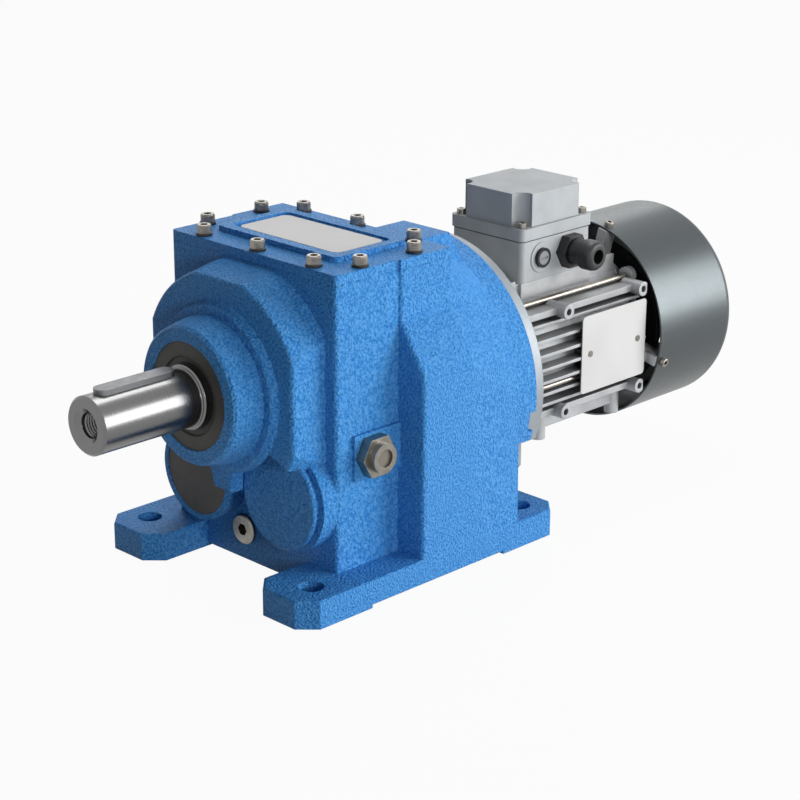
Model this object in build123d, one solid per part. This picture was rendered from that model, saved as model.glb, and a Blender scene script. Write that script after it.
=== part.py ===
from build123d import *
import math
import os

# Inline helical gear reducer with its flanged motor.
# Frame: +X leaves through the output shaft, +Z is up, +Y is the side with the oil sight plug.
# The origin is the centre of the four foot holes, on the mounting plane. Millimetres and degrees.

# Feet and mounting holes
hole_spacing_x = 205.0
hole_spacing_y = 170.0
foot_hole_d = 17.5
foot_front_x = 127.0
foot_rear_x = -125.0
foot_outer_y = 107.0
foot_inner_y = 52.0
foot_thick = 20.0
foot_corner = 12.0
foot_relief = 2.5
foot_edge = 1.5
front_pad_length = 60.0
rear_pad_length = 62.0

# Shaft heights and countershaft places
output_z = 140.0
motor_z = 108.0
first_y = -44.0
first_z = 63.0
second_y = 44.0
second_z = 68.0

# Housing
block_front_x = 76.4
block_half = 82.5
step_x = 19.0
rear_half = 107.0
side_top_z = 151.0
shoulder_z = 186.0
shoulder_fillet = 20.0
top_half = 84.5
cover_seat_z = 220.5
top_rear_x = -29.0
body_rear_x = -78.6
bell_rear_x = -97.0
bell_r = 105.0
bell_notch_z = 76.0
bell_notch_y = 80.0
rim_recess = (6.0, 96.0, 84.0, 99.0)
bell_turns = (0.0, 24.0, 40.0, 54.0)
spigot_r = 65.0
spigot_depth = 3.5
wall = 8.0
floor = 10.0
front_wall = 11.0
mid_wall_front_x = -20.0
mid_wall_rear_x = -38.0
cast_fillet = 3.0
cover_opening_front_x = 58.0
cover_opening_rear_x = -12.0
cover_opening_half = 62.0

# Output boss on the front
boss_face_x = 105.5
boss_r = 78.5
boss_flat_y = 72.0
boss_flat_z = 75.0
boss_draft = 5.5
collar_x = 111.5
collar_r = 57.6
collar_groove_r = 50.0
collar_groove = 4.0
nose_x = 134.0
nose_r = 47.6
nose_root_r = 51.0

# Lower bearing bosses
left_boss_x = 92.0
left_boss_r = 35.0
right_boss_x = 88.5
right_boss_r = 39.0
right_cap_x = 94.5
right_cap_r = 35.5

# Cover
cover_thick = 7.0
gasket_thick = 0.5
panel_rise = 3.7
panel_front_x = 55.0
panel_rear_x = -12.0
panel_half = 60.0
panel_corner = 5.0
pocket_depth = 1.7
pocket_front_x = 47.5
pocket_rear_x = -4.5
pocket_half = 53.0
pocket_corner = 6.0
plate_gap = 3.2
plate_thick = 0.8
screw_pitch_y = 55.2
screw_front_x = 69.8
screw_rear_x = -22.8
screw_side_y = 76.5
screw_side_pitch = 50.0
screw_bite = 16.0

# Screws: thread diameter, head diameter, head height, socket width and socket depth
m6 = (6.0, 10.0, 6.0, 5.0, 3.2)
m4 = (4.0, 7.0, 4.0, 3.0, 2.0)
washer_od = 11.5
washer_thick = 1.6

# Gears: normal module, teeth of the driver, teeth of the driven wheel, face width
pressure_angle = 20.0
backlash = 0.3
stage_1 = (1.5, 15, 64, 16.0)
stage_2 = (2.0, 34, 49, 22.0)
stage_3 = (2.5, 14, 51, 34.0)
stage_1_x = -54.0
stage_2_x = -4.0
stage_3_x = 41.0
pinion_shift = 0.25
pinion_extra = 2.0
first_wheel_bore = 22.0
second_wheel_bore = 32.0

# Output shaft
shaft_d = 40.0
shaft_length = 80.0
shaft_shoulder_x = 137.5
seal_journal_d = 45.0
gear_seat_d = 50.0
rear_journal_d = 35.0
end_chamfer = 1.6
centre_hole_d = 17.0
centre_hole_depth = 36.0
centre_countersink_d = 24.5
key_width = 12.0
key_height = 8.0
key_length = 63.0
key_sunk = 5.0
seam_turn = 22.5
gear_key_width = 14.0
gear_key_height = 9.0
gear_key_sunk = 5.5

# Bearings: bore, outside diameter and width
front_bearing = (45.0, 85.0, 19.0)
rear_bearing = (35.0, 72.0, 17.0)
counter_front_bearing = (25.0, 62.0, 17.0)
counter_rear_bearing = (25.0, 52.0, 15.0)
motor_bearing = (20.0, 47.0, 14.0)
front_bearing_x = 109.0
shield_thick = 0.8
shield_gap = 0.3
cap_seat = 8.5
fit_gap = 0.02

# Seals
seal_od = 75.0
seal_width = 10.0
seal_recess = 1.0
motor_seal_od = 35.0

# Plugs
drain_y = -11.0
drain_z = 25.5
drain_r = 11.0
drain_head = 3.0
drain_thread_r = 7.0
sight_x = 46.0
sight_z = 99.0
sight_pad_front_x = 62.0
sight_pad_half = 16.0
sight_pad_rise = 2.5
sight_hex = 27.0
sight_hex_thick = 8.0
sight_ring_r = 10.5
sight_ring_length = 5.0
sight_glass_r = 6.5
sight_thread_r = 9.5
vent_pad_front_x = -31.0
vent_pad_rear_x = -63.0
vent_pad_left_y = 5.5
vent_pad_right_y = 50.0
vent_pad_step = 2.5
vent_pad_drop = 24.0
vent_pad_slope = 9.0

# Motor
flange_r = 100.0
flange_thick = 13.0
shield_r = 80.0
flange_bolt_circle = 165.0
flange_bolt = (10.0, 16.0, 6.4)
frame_front_x = -126.0
frame_rear_x = -266.0
frame_r = 57.0
bore_r = 52.0
fin_r = 67.5
fin_thick = 2.4
fin_pitch = 10.5
fin_taper = 14.0
foot_boss_z = 39.0
foot_boss_y = 66.6
foot_boss_front_x = -175.0
foot_boss_rear_x = -262.0
foot_boss_r = 5.6
foot_boss_hole_r = 2.6
web_thick = 5.0
rod_r = 2.5
rod_ring_r = 63.0
rod_angles = (-15.0, 45.0, 135.0, 195.0)
rod_head = (8.0, 4.0)
rod_seat = 9.0
cowl_screw_angles = (-14.0, 76.0, 166.0, 256.0)
cowl_front_x = -270.0
cowl_rear_x = -362.0
cowl_r = 79.6
cowl_wall = 1.5
cowl_corner = 9.0
cowl_screw_x = -275.0
cowl_slot = 4.0
cowl_slot_pitch = 9.0
cowl_slot_start = 20.0
cowl_rings = 6
cowl_bar = 9.0
rotor_r = 31.0
air_gap = 0.4
stator_length = 84.0
winding_overhang = 22.0
motor_shaft_d = 20.0
pinion_seat_d = 14.0
fan_r = 68.0
fan_blades = 9

# Terminal box
box_front_x = -155.0
box_rear_x = -234.5
box_half = 36.5
box_floor_z = 165.5
box_top_z = 196.6
box_seam = 1.0
lid_flange = 9.2
lid_top_z = 231.4
lid_inset = 3.0
box_wall = 3.0
box_corner = 4.0
lid_notch_r = 8.0
lid_screw_inset = 6.0
board_length = 44.0
board_width = 28.0
stud_pitch = 14.0
gland_x = -208.0
blank_x = -177.5
entry_z = 182.5
gland_hex = 24.0
gland_bore_r = 5.5
gland_hole_r = 8.0
blank_hole_r = 5.0
blank_pad_r = 11.5
blank_pad_rise = 0.8
gland_reach = 30.0

# Nameplate on the motor
name_front_x = -189.5
name_rear_x = -264.0
name_low_z = 79.5
name_high_z = 140.0
name_thick = 0.8
name_corner = 3.0
rivet_inset = 9.5
rivet_r = 1.6


def box(x0, x1, y0, y1, z0, z1):
    """A block between two corners."""
    return Pos((x0 + x1) / 2, (y0 + y1) / 2, (z0 + z1) / 2) * Box(abs(x1 - x0), abs(y1 - y0), abs(z1 - z0))


def rod(x0, x1, radius, y=0.0, z=0.0):
    """A cylinder along X."""
    return Pos((x0 + x1) / 2, y, z) * Rot(0, 90, 0) * Cylinder(radius, abs(x1 - x0))


def post(z0, z1, radius, x=0.0, y=0.0):
    """A cylinder along Z."""
    return Pos(x, y, (z0 + z1) / 2) * Cylinder(radius, abs(z1 - z0))


def stub(y0, y1, radius, x=0.0, z=0.0):
    """A cylinder along Y."""
    return Pos(x, (y0 + y1) / 2, z) * Rot(90, 0, 0) * Cylinder(radius, abs(y1 - y0))


def turned(points, y=0.0, z=0.0):
    """A solid of revolution about a line along X, from (x, radius) points."""
    return Pos(0, y, z) * revolve(make_face(Polyline(*points, close=True)), Axis.X)


def across(x):
    """The plane at x whose own axes are the part's Y and Z."""
    return Plane(origin=(x, 0, 0), x_dir=(0, 1, 0), z_dir=(1, 0, 0))


def slab(z0, z1, x0, x1, half, corner):
    """A plate with rounded corners, centred on y = 0."""
    outline = Pos((x0 + x1) / 2, 0, z0) * RectangleRounded(abs(x1 - x0), 2 * half, corner)
    return extrude(outline, amount=z1 - z0)


def socket_screw(size, length):
    """A socket head cap screw along Z with its head seated on z = 0."""
    thread_d, head_d, head_h, socket, socket_depth = size
    head = Cylinder(head_d / 2, head_h)
    head = Pos(0, 0, head_h / 2) * chamfer(head.edges().filter_by(GeomType.CIRCLE).sort_by(Axis.Z)[-1], 0.4)
    hexagon = Pos(0, 0, head_h - socket_depth) * RegularPolygon(socket / 2, 6, major_radius=False)
    shank = Pos(0, 0, -length / 2) * Cylinder(thread_d / 2, length)
    return head + shank - extrude(hexagon, amount=socket_depth + 1)


def hex_block(width, height):
    """A hexagonal block along Z that stands on z = 0."""
    return extrude(RegularPolygon(width / 2, 6, major_radius=False), amount=height)


def rounded(solid, radius, x=None, z=None):
    """The solid with the edges that lie at one x, or at one z, rounded."""
    edges = solid.edges()
    if x is not None:
        edges = edges.filter_by_position(Axis.X, x - 0.01, x + 0.01)
    if z is not None:
        edges = edges.filter_by_position(Axis.Z, z - 0.01, z + 0.01)
    return fillet(edges, radius)


def group(solids):
    """Separate solids written as one sub-part."""
    return Compound(children=list(solids))


# Gears

def transverse(stage, distance):
    """Transverse module, helix angle and transverse pressure angle of a pair on a given centre distance."""
    module, driver, driven, _ = stage
    module_t = 2 * distance / (driver + driven)
    helix = math.acos(module / module_t)
    pressure = math.atan(math.tan(math.radians(pressure_angle)) / math.cos(helix))
    return module_t, helix, pressure


def gear_outline(teeth, module, module_t, pressure, shift, steps):
    """The transverse section of a gear: involute flanks, cut into a few straight steps."""
    pitch_r = teeth * module_t / 2
    base_r = pitch_r * math.cos(pressure)
    tip_r = pitch_r + module * (1 + shift)
    root_r = pitch_r - module * (1.25 - shift)
    thickening = 2 * shift * math.tan(pressure) * module / module_t
    half = (math.pi / 2 + thickening) / teeth - backlash / 4 / pitch_r
    pitch_inv = math.tan(pressure) - pressure

    def half_angle(radius):
        angle = math.acos(min(1.0, base_r / max(radius, base_r)))
        return half + pitch_inv - (math.tan(angle) - angle)

    start_r = max(base_r, root_r)
    flank = [(root_r, half_angle(start_r))] if root_r < base_r - 0.05 else []
    flank += [(start_r + (tip_r - start_r) * k / steps, 0.0) for k in range(steps + 1)]
    flank = [(radius, half_angle(radius)) for radius, _ in flank]
    points = []
    for tooth in range(teeth):
        centre = 2 * math.pi * tooth / teeth
        side = [(radius, centre - angle) for radius, angle in flank]
        side += [(radius, centre + angle) for radius, angle in reversed(flank)]
        points += [(radius * math.cos(turn), radius * math.sin(turn)) for radius, turn in side]
    return make_face(Polyline(*points, close=True))


def helical_teeth(teeth, stage, distance, hand, shift, phase, x_mid, width, y, z, steps, spans):
    """A toothed blank whose section turns along X; phase is the angle of one tooth at x_mid."""
    module_t, helix, pressure = transverse(stage, distance)
    outline = gear_outline(teeth, stage[0], module_t, pressure, shift, steps)
    twist = math.degrees(hand * math.tan(helix) / (teeth * module_t / 2))
    sections = []
    for k in range(spans + 1):
        offset = width * (k / spans - 0.5)
        sections.append(across(x_mid + offset) * Rot(0, 0, math.degrees(phase) + twist * offset) * outline)
    skin = [sections[0].face(), sections[-1].face()]
    for low, high in zip(sections, sections[1:]):
        skin += Face.make_surface_from_curves(low.face().outer_wire(), high.face().outer_wire()).faces()
    return Pos(0, y, z) * Part(Solid(Shell(skin)).wrapped)


def meshing_phase(phase, teeth, line, mate_teeth):
    """Phase of the mate, whose tooth space faces the tooth at the line of centres."""
    fraction = (line - phase) * teeth / (2 * math.pi)
    return line + math.pi - (0.5 - fraction) * 2 * math.pi / mate_teeth


first = (first_y, first_z)
second = (second_y, second_z)
output = (0.0, output_z)
motor = (0.0, motor_z)
distance_1 = math.dist(motor, first)
distance_2 = math.dist(first, second)
distance_3 = math.dist(second, output)
line_1 = math.atan2(first_z - motor_z, first_y)
line_2 = math.atan2(second_z - first_z, second_y - first_y)
line_3 = math.atan2(output_z - second_z, -second_y)
first_wheel_phase = meshing_phase(0.0, stage_1[1], line_1, stage_1[2])
second_wheel_phase = meshing_phase(0.0, stage_2[1], line_2, stage_2[2])
output_wheel_phase = meshing_phase(0.0, stage_3[1], line_3, stage_3[2])


# Housing

def outline_face(x, half):
    """A closed section at x from the right half of its outline.

    The half is a list of (y, z) points; a point given as a third item bends the stretch before it.
    """
    whole = half + [(-p[0], p[1]) for p in reversed(half)]
    bends = [None] + [p[2] if len(p) > 2 else None for p in half[1:]]
    closing = half[-1][3] if len(half[-1]) > 3 else None
    bends += [closing] + [(-b[0], b[1]) if b else None for b in reversed(bends[1:])]
    edges = []
    for start, end, bend in zip(whole, whole[1:], bends[1:]):
        if bend:
            edges.append(ThreePointArc(start[:2], bend, end[:2]))
        else:
            edges.append(Line(start[:2], end[:2]))
    edges.append(Line(whole[-1][:2], whole[0][:2]))
    return across(x) * make_face(Wire(edges))


def block_half_outline(inset=0.0):
    """Side, rounded ridge, sloping shoulder and upper side of the rear block, inset for the cavity."""
    side = rear_half - inset
    upper = top_half - inset
    slope = math.atan2(shoulder_z - side_top_z, rear_half - top_half)
    turn = math.pi / 2 - slope
    radius = shoulder_fillet - inset
    reach = radius * math.tan(turn / 2)
    ridge_z = side_top_z - inset * math.tan(turn / 2)
    low = (side, ridge_z - reach)
    bend = (side - radius * (1 - math.cos(turn / 2)), ridge_z - reach + radius * math.sin(turn / 2))
    high = (side - reach * math.cos(slope), ridge_z + reach * math.sin(slope))
    eaves = (upper, high[1] + (high[0] - upper) * math.tan(slope))
    return low, (high[0], high[1], bend), eaves


def rear_section(x):
    """Section of the rear block where its top is flat."""
    low, high, eaves = block_half_outline()
    return outline_face(x, [(rear_half, foot_relief), low, high, eaves, (top_half, cover_seat_z)])


def bell_section(x):
    """Section where the block has turned into the round bell, with points matched to the block's."""
    def on_circle(degrees):
        turn = math.radians(degrees)
        return bell_r * math.cos(turn), motor_z + bell_r * math.sin(turn)

    turns = bell_turns
    half = [(rear_half - 1.0, foot_relief), on_circle(turns[0])]
    for start, end in zip(turns, turns[1:]):
        half.append((*on_circle(end), on_circle((start + end) / 2)))
    half[-1] = (*half[-1][:2], half[-1][2], on_circle(90))
    return outline_face(x, half)


def output_boss():
    """The round boss with two flats, a flat crown and draft, and hollows for the lower bearing bosses."""
    def face(x, grow):
        flats = Pos(0, grow / 2) * Rectangle(2 * boss_flat_y, 2 * boss_flat_z + grow)
        return across(x) * Pos(0, output_z) * (Circle(boss_r + grow) & flats)

    boss = loft([face(block_front_x - 1, boss_draft), face(boss_face_x, 0)], ruled=True)
    boss = rounded(boss, cast_fillet, x=boss_face_x)
    boss -= rod(left_boss_x - 1, boss_face_x + 1, left_boss_r + 0.5, *first)
    boss -= rod(right_boss_x, boss_face_x + 1, right_cap_r + 0.5, *second)
    nose = [
        (boss_face_x - 1, 0), (boss_face_x - 1, collar_r + 2), (boss_face_x, collar_r + 2),
        (boss_face_x + 2, collar_r + 0.4), (collar_x - 1, collar_r), (collar_x, collar_r - 1),
        (collar_x, collar_groove_r + 1), (collar_x + collar_groove, nose_root_r),
        (nose_x - 2, nose_r + 0.4), (nose_x, nose_r - 1.6), (nose_x, 0),
    ]
    return boss + turned(nose, *output)


def lower_bosses():
    """Bearing bosses of the two countershafts."""
    left = rod(block_front_x - 1, left_boss_x, left_boss_r, *first)
    right = rod(block_front_x - 1, right_boss_x, right_boss_r, *second)
    return left + right


def feet():
    """Front and rear feet with chamfered corners, and the rails that run beside the narrow block."""
    solid = None
    for side in (-1, 1):
        outline = [
            (foot_front_x, foot_inner_y + foot_corner), (foot_front_x, foot_outer_y - foot_corner),
            (foot_front_x - foot_corner, foot_outer_y), (foot_rear_x + foot_corner, foot_outer_y),
            (foot_rear_x, foot_outer_y - foot_corner), (foot_rear_x, foot_inner_y + foot_corner),
            (foot_rear_x + foot_corner, foot_inner_y), (foot_front_x - foot_corner, foot_inner_y),
        ]
        plan = make_face(Polyline(*[(x, side * y) for x, y in outline], close=True))
        rail = extrude(plan, amount=foot_thick)
        relief = box(foot_rear_x + rear_pad_length, foot_front_x - front_pad_length,
                     side * foot_inner_y - side, side * foot_outer_y + side, -1, foot_relief)
        rail = rounded(rail, foot_edge, z=foot_thick) - relief
        for x in (-hole_spacing_x / 2, hole_spacing_x / 2):
            rail -= post(-1, foot_thick + 1, foot_hole_d / 2, x, side * hole_spacing_y / 2)
        solid = rail if solid is None else solid + rail
    return solid


def cavities():
    """Gear chamber, input chamber behind the middle wall, cover opening and bores, as one cutting solid."""
    front_x = block_front_x - front_wall
    ceiling_z = cover_seat_z - 12
    inner = block_half - wall
    cut = box(mid_wall_front_x, front_x, -inner, inner, floor, ceiling_z)
    low, high, eaves = block_half_outline(wall)
    rear_half_outline = [(rear_half - wall, floor), low, high, eaves, (top_half - wall, ceiling_z)]
    chamber_length = step_x - wall - mid_wall_front_x
    cut += extrude(outline_face(mid_wall_front_x, rear_half_outline), amount=chamber_length)
    chamber_rear_x = bell_rear_x + front_wall
    chamber = rod(chamber_rear_x, mid_wall_rear_x, bell_r - wall, *motor)
    chamber += box(chamber_rear_x, mid_wall_rear_x, wall - bell_r, bell_r - wall, floor, motor_z)
    for side in (-1, 1):
        chamber -= box(chamber_rear_x - 1, body_rear_x + wall, side * (bell_notch_y - wall), side * (bell_r + 5),
                       -1, bell_notch_z + wall)
    inner = rear_half - wall
    cut += chamber & box(chamber_rear_x, mid_wall_rear_x, -inner, inner, floor, ceiling_z)
    cut += box(cover_opening_rear_x, cover_opening_front_x, -cover_opening_half, cover_opening_half,
               ceiling_z - 1, cover_seat_z + 1)
    cut += rod(bell_rear_x - 1, chamber_rear_x + 1, spigot_r, *motor)
    return cut


def bearing_bores():
    """Bores for bearings, closing caps and the output seal."""
    front_x = block_front_x - front_wall
    cut = rod(front_x - 1, front_bearing_x, front_bearing[1] / 2, *output)
    cut += rod(front_bearing_x - 1, nose_x + 1, seal_od / 2, *output)
    cap_r = counter_front_bearing[1] / 2
    cut += rod(front_x - 1, left_boss_x + 1, cap_r, *first)
    cut += rod(front_x - 1, right_boss_x + 1, cap_r, *second)
    rear_places = [(output, rear_bearing), (first, counter_rear_bearing), (second, counter_rear_bearing)]
    for centre, (_, outside, width) in rear_places:
        cut += rod(mid_wall_front_x - width, mid_wall_front_x + 1, outside / 2, *centre)
        cut += rod(mid_wall_rear_x - 1, mid_wall_front_x, outside / 2 - 4, *centre)
    return cut


def cover_screw_places():
    """The ten places of the cover screws, as (x, y)."""
    middle_x = (screw_front_x + screw_rear_x) / 2
    ends = [(x, y) for x in (screw_front_x, screw_rear_x) for y in (-screw_pitch_y, 0.0, screw_pitch_y)]
    sides = [(middle_x + dx, y) for dx in (-screw_side_pitch / 2, screw_side_pitch / 2)
             for y in (-screw_side_y, screw_side_y)]
    return ends + sides


def flange_bolt_places():
    """The four places of the motor flange bolts, as (y, z)."""
    ring = flange_bolt_circle / 2
    turns = [math.radians(45 + 90 * k) for k in range(4)]
    return [(ring * math.cos(t), motor_z + ring * math.sin(t)) for t in turns]


def front_block(z0, z1):
    """The narrow front part of the block between two heights, with its front corners rounded."""
    block = box(step_x - 1, block_front_x, -block_half, block_half, z0, z1)
    upright = block.edges().filter_by(Axis.Z)
    return fillet(upright.filter_by_position(Axis.X, block_front_x - 0.01, block_front_x + 0.01), cast_fillet)


def housing():
    """The one-piece casting: block, bell, bosses and feet, hollowed and bored."""
    rear = extrude(rear_section(top_rear_x), amount=step_x - top_rear_x)
    arris = [edge for edge in rear.edges().filter_by_position(Axis.X, step_x - 0.01, step_x + 0.01)
             if foot_thick < edge.center().Z < cover_seat_z - 1]
    body = front_block(foot_relief, cover_seat_z) + fillet(arris, cast_fillet)
    body += loft([bell_section(body_rear_x), rear_section(top_rear_x)], ruled=True)
    body += vent_pad()
    ring = rod(bell_rear_x, body_rear_x + 1, bell_r, *motor)
    ring &= box(bell_rear_x, body_rear_x + 1, -bell_r, bell_r, foot_relief, motor_z + bell_r)
    for side in (-1, 1):
        ring -= box(bell_rear_x - 1, body_rear_x, side * bell_notch_y, side * (bell_r + 5), -1, bell_notch_z)
        depth, inner_y, low_z, high_z = rim_recess
        ring -= box(bell_rear_x - 1, bell_rear_x + depth, side * inner_y, side * (bell_r + 5), low_z, high_z)
    body += ring
    body += feet()
    body += output_boss()
    body += lower_bosses()
    body += box(step_x - 1, sight_pad_front_x, block_half - 1, block_half + sight_pad_rise,
                sight_z - sight_pad_half, sight_z + sight_pad_half)
    body -= cavities()
    body -= bearing_bores()
    body -= rod(block_front_x - front_wall - 1, block_front_x + 1, drain_thread_r, drain_y, drain_z)
    body -= stub(block_half - wall - 1, block_half + sight_pad_rise + 1, sight_thread_r, sight_x, sight_z)
    for x, y in cover_screw_places():
        body -= post(cover_seat_z - screw_bite, cover_seat_z + 1, m6[0] / 2, x, y)
    for y, z in flange_bolt_places():
        body -= rod(bell_rear_x - 1, bell_rear_x + front_wall - 2, flange_bolt[0] / 2, y, z)
    return body


def vent_pad():
    """The raised pad behind the cover, a step below its top, with sloping sides."""
    length = vent_pad_front_x - vent_pad_rear_x
    breadth = vent_pad_right_y - vent_pad_left_y
    place = Pos((vent_pad_front_x + vent_pad_rear_x) / 2, (vent_pad_left_y + vent_pad_right_y) / 2, 0)
    foot = Pos(0, 0, cover_seat_z - vent_pad_drop) * Rectangle(length + 2 * vent_pad_slope,
                                                               breadth + 2 * vent_pad_slope)
    crown_z = cover_seat_z + gasket_thick + cover_thick - vent_pad_step
    crown = Pos(0, 0, crown_z) * Rectangle(length, breadth)
    return place * loft([foot, crown], ruled=True)


def flat_top(z0, z1):
    """A plate with the outline of the block's top."""
    return front_block(z0, z1) + box(top_rear_x, step_x, -top_half, top_half, z0, z1)


def top_cover():
    seat_z = cover_seat_z + gasket_thick
    top_z = seat_z + cover_thick
    cover = flat_top(seat_z, top_z)
    cover += slab(top_z - 1, top_z + panel_rise, panel_rear_x, panel_front_x, panel_half, panel_corner)
    cover -= slab(top_z + panel_rise - pocket_depth, top_z + panel_rise + 1,
                  pocket_rear_x, pocket_front_x, pocket_half, pocket_corner)
    for x, y in cover_screw_places():
        cover -= post(seat_z - 1, top_z + 1, m6[0] / 2 + 0.3, x, y)
    return cover


def cover_gasket():
    gasket = flat_top(cover_seat_z, cover_seat_z + gasket_thick)
    gasket -= box(cover_opening_rear_x, cover_opening_front_x, -cover_opening_half, cover_opening_half,
                  cover_seat_z - 1, cover_seat_z + 2)
    for x, y in cover_screw_places():
        gasket -= post(cover_seat_z - 1, cover_seat_z + 2, m6[0] / 2 + 0.3, x, y)
    return gasket


def cover_fasteners():
    """Screws and washers of the cover, as two lists."""
    top_z = cover_seat_z + gasket_thick + cover_thick
    length = washer_thick + cover_thick + screw_bite - 2
    screws, washers = [], []
    for x, y in cover_screw_places():
        screws.append(Pos(x, y, top_z + washer_thick) * socket_screw(m6, length))
        washer = post(top_z, top_z + washer_thick, washer_od / 2, x, y)
        washers.append(washer - post(top_z - 1, top_z + washer_thick + 1, m6[0] / 2 + 0.2, x, y))
    return screws, washers


def cover_plate():
    """The bare plate in the pocket of the cover."""
    z = cover_seat_z + gasket_thick + cover_thick + panel_rise - pocket_depth
    return slab(z, z + plate_thick, pocket_rear_x + plate_gap, pocket_front_x - plate_gap,
                pocket_half - plate_gap, pocket_corner)


def closing_caps():
    """The pressed-in cap of the left bore and the flanged, painted cap of the right one."""
    cap_r = counter_front_bearing[1] / 2 - fit_gap
    left = rod(left_boss_x - cap_seat, left_boss_x - 0.5, cap_r, *first)
    right = rod(right_boss_x - cap_seat + 3, right_boss_x + 1, cap_r, *second)
    right += turned([
        (right_boss_x + 2, 0), (right_boss_x + 2, right_cap_r - 2), (right_boss_x + 3, right_cap_r),
        (right_cap_x - 1, right_cap_r), (right_cap_x, right_cap_r - 1), (right_cap_x, 0),
    ], *second)
    right += rod(right_boss_x, right_boss_x + 2.5, right_cap_r - 2, *second)
    return left, right


def drain_plug():
    x = block_front_x
    hexagon = across(x + drain_head - 6) * Pos(drain_y, drain_z) * RegularPolygon(4, 6, major_radius=False)
    plug = turned([(x, 0), (x, drain_r), (x + drain_head - 1, drain_r), (x + drain_head, drain_r - 1),
                   (x + drain_head, 0)], drain_y, drain_z)
    plug += rod(x - front_wall, x + 1, drain_thread_r - fit_gap, drain_y, drain_z)
    return plug - extrude(hexagon, amount=7)


def oil_sight_plug():
    """Hexagon plug with its ring, and the glass behind the ring."""
    face_y = block_half + sight_pad_rise
    turn = Pos(sight_x, face_y, sight_z) * Rot(-90, 0, 0)
    ring_top = sight_hex_thick + sight_ring_length
    body = hex_block(sight_hex, sight_hex_thick)
    body += Pos(0, 0, ring_top / 2) * Cylinder(sight_ring_r, ring_top)
    body += Pos(0, 0, -wall / 2) * Cylinder(sight_thread_r - fit_gap, wall + 1)
    body -= Pos(0, 0, ring_top / 2) * Cylinder(sight_glass_r, 4 * ring_top)
    glass = Pos(0, 0, ring_top - 4) * Cylinder(sight_glass_r - fit_gap, 4)
    return turn * body, turn * glass


# Bearings and seals

def bearing(size, x_front, y, z):
    """Outer ring with its two shields, and inner ring, of a bearing whose front face is at x_front."""
    bore, outside, width = size
    middle_r = (bore + outside) / 4
    groove_half = 0.15 * (outside - bore) / 2
    inner_r = middle_r - groove_half
    back, front = x_front - width, x_front
    outer = turned([
        (back, outside / 2), (front, outside / 2), (front, inner_r + shield_gap),
        (front - shield_thick, inner_r + shield_gap), (front - shield_thick, middle_r + groove_half),
        (back + shield_thick, middle_r + groove_half), (back + shield_thick, inner_r + shield_gap),
        (back, inner_r + shield_gap),
    ], y, z)
    inner = rod(back, front, inner_r, y, z) - rod(back - 1, front + 1, bore / 2, y, z)
    return outer, inner


def bearing_set(places):
    """The bearings of one shaft, as a group of outer rings and one of inner rings."""
    rings = [bearing(size, x_front, *centre) for size, x_front, centre in places]
    return group(outer for outer, inner in rings), group(inner for outer, inner in rings)


def output_seal():
    """Radial shaft seal: cased ring, dust lip and sealing lip round the journal."""
    front = nose_x - seal_recess
    back = front - seal_width
    lip_r = seal_journal_d / 2 + 0.05
    return turned([(back, lip_r + 6), (back, seal_od / 2 - fit_gap), (front, seal_od / 2 - fit_gap),
                   (front, lip_r + 5), (front - 1.6, lip_r + 4.2), (front - 2.2, lip_r),
                   (front - 3.2, lip_r), (front - 3.6, lip_r + 3), (back + 2.5, lip_r + 2.6),
                   (back + 1.2, lip_r)], *output)


# Shafts and gears

def output_shaft():
    shaft_end_x = shaft_shoulder_x + shaft_length
    rear_x = mid_wall_front_x - rear_bearing[2]
    front_seat_x = front_bearing_x - front_bearing[2]
    gear_front_x = stage_3_x + stage_3[3] / 2
    gear_rear_x = stage_3_x - stage_3[3] / 2
    r = shaft_d / 2
    shaft = Pos(0, *output) * Rot(seam_turn, 0, 0) * turned([
        (rear_x, 0), (rear_x, rear_journal_d / 2 - 1), (rear_x + 1, rear_journal_d / 2 - fit_gap),
        (mid_wall_front_x, rear_journal_d / 2 - fit_gap), (mid_wall_front_x, rear_journal_d / 2 + 3.5),
        (gear_rear_x - 8, rear_journal_d / 2 + 3.5), (gear_rear_x - 8, gear_seat_d / 2 + 5),
        (gear_rear_x, gear_seat_d / 2 + 5), (gear_rear_x, gear_seat_d / 2 - fit_gap),
        (gear_front_x, gear_seat_d / 2 - fit_gap), (gear_front_x, front_bearing[0] / 2 - fit_gap),
        (shaft_shoulder_x - 1, front_bearing[0] / 2 - fit_gap),
        (shaft_shoulder_x, seal_journal_d / 2 - 1), (shaft_shoulder_x, r + 0.6), (shaft_shoulder_x + 0.6, r),
        (shaft_end_x - end_chamfer, r), (shaft_end_x, r - end_chamfer), (shaft_end_x, 0),
    ])
    sink = (centre_countersink_d - centre_hole_d) / 2
    shaft -= turned([
        (shaft_end_x + 1, 0), (shaft_end_x + 1, centre_countersink_d / 2),
        (shaft_end_x, centre_countersink_d / 2), (shaft_end_x - sink * 0.8, centre_hole_d / 2),
        (shaft_end_x - centre_hole_depth, centre_hole_d / 2),
        (shaft_end_x - centre_hole_depth - 5, 0),
    ], *output)
    shaft -= feather_key(key_x(), key_length, key_width, key_height, r - key_sunk, 0)
    shaft -= feather_key(stage_3_x, stage_3[3] - 4, gear_key_width, gear_key_height,
                         gear_seat_d / 2 - gear_key_sunk, 0)
    return shaft


def key_x():
    """Middle of the output key, which ends short of the shoulder and of the shaft end."""
    return shaft_shoulder_x + shaft_length / 2


def feather_key(x, length, width, height, low_r, gap):
    """A round-ended key on top of the output shaft, or its keyway where the gap is none."""
    z = output_z + low_r
    outline = Pos(x, 0, z) * SlotOverall(length, width - gap)
    return extrude(outline, amount=height)


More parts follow.
